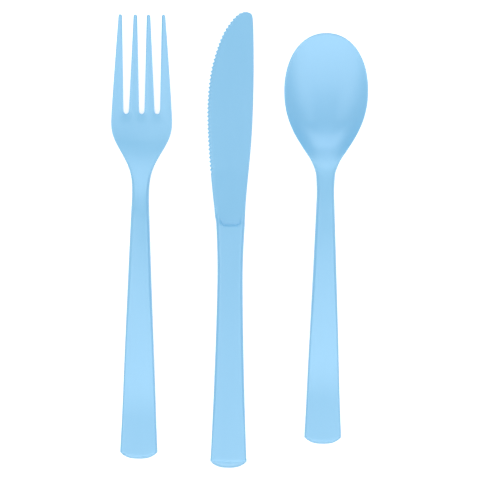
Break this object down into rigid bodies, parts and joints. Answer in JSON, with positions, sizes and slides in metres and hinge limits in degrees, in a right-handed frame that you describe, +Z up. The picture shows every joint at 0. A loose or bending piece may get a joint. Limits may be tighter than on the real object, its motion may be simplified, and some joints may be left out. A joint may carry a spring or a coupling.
{
  "type": "plastic cutlery set",
  "caption": "Disposable plastic cutlery laid side by side: a tined fork, a toothed knife and an oval-bowled spoon, each moulded in one piece with a tapered channel handle.",
  "frame": {"origin": "on the table, at the middle of the set's footprint", "axes": "+Y from the handles' ends towards the tines, the knife's point and the bowl, +X from the fork towards the spoon, +Z up, out of the pieces' upper faces"},
  "size_m": [0.107, 0.1906, 0.0125],
  "materials": {
    "blue_plastic": "pale sky-blue moulded plastic with a soft gloss"
  },
  "bodies": {
    "root": {"fork": "blue_plastic", "knife": "blue_plastic", "spoon": "blue_plastic"}
  },
  "joints": []
}
